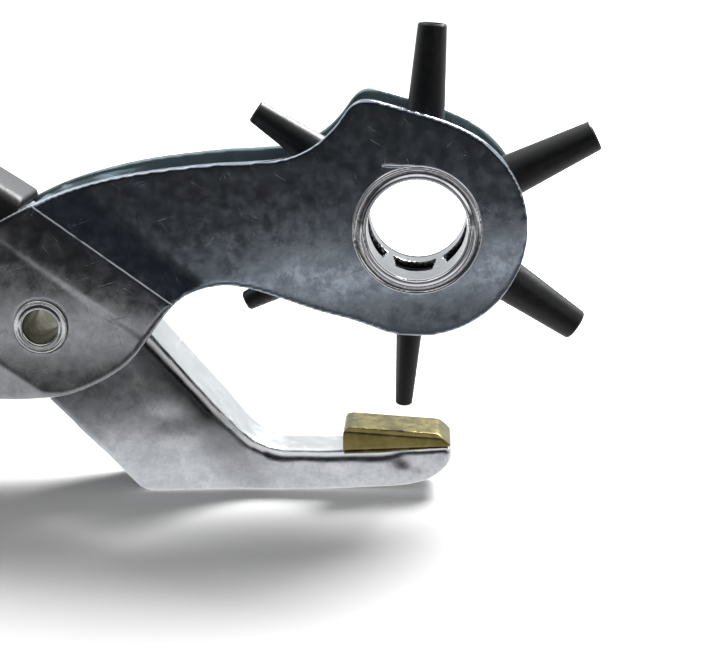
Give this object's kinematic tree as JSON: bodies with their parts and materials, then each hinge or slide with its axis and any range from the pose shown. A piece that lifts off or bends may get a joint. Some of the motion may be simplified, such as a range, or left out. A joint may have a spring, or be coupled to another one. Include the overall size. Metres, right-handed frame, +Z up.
{
  "type": "rotary hole punch",
  "caption": "Hand plier with a revolving turret of graded hollow punches that close on a brass anvil pad, for making round holes in leather straps.",
  "frame": {"origin": "centre of the pivot rivet's bore, on the mid plane of the tool", "axes": "+X towards the jaws, +Y across the tool along the pivot axis, +Z up towards the upper handle; rest pose has the jaws nearly closed"},
  "size_m": [0.2201, 0.024, 0.082],
  "materials": {
    "frame_zinc": "bright zinc plate, satin, dark blue-grey reflections",
    "anvil_zinc": "bright zinc plate, polished",
    "anvil_brass": "dull olive brass",
    "rivet_steel": "bright steel, yellow passivated bore",
    "sleeve_steel": "bright rolled steel",
    "black_oxide": "black oxide, semi-matt",
    "spring_steel": "oil-tempered spring steel",
    "washer_steel": "plain steel",
    "grip_black": "black moulded vinyl, satin"
  },
  "bodies": {
    "anvil_arm": {"anvil_arm": "anvil_zinc", "anvil_pad": "anvil_brass", "anvil_rivet": "rivet_steel", "upper_grip": "grip_black", "pivot_rivet": "rivet_steel", "pivot_spacer": "washer_steel", "pivot_washer_front": "washer_steel", "pivot_washer_rear": "washer_steel", "opening_spring": "spring_steel"},
    "turret_frame": {"turret_frame": "frame_zinc", "lower_grip": "grip_black", "index_spring": "spring_steel", "index_spring_rivet": "rivet_steel"},
    "turret": {"turret_hub": "black_oxide", "hub_sleeve": "sleeve_steel", "thrust_washer_front": "washer_steel", "thrust_washer_rear": "washer_steel", "punch_tube_2_0mm": "black_oxide", "punch_tube_2_5mm": "black_oxide", "punch_tube_3_0mm": "black_oxide", "punch_tube_3_5mm": "black_oxide", "punch_tube_4_0mm": "black_oxide", "punch_tube_4_5mm": "black_oxide"}
  },
  "joints": [
    {"name": "jaw_pivot", "type": "hinge", "parent": "anvil_arm", "child": "turret_frame", "pos_m": [0, 0, 0], "axis": [0, -1, 0], "range_deg": [-3.1, 20], "stiffness_Nm_per_rad": 0.35, "springref_deg": 20.05, "deforming": ["opening_spring"]},
    {"name": "turret_spin", "type": "hinge", "parent": "turret_frame", "child": "turret", "pos_m": [0.064, 0, 0.0169], "axis": [0, 1, 0], "continuous": true, "deforming": ["index_spring"]}
  ]
}
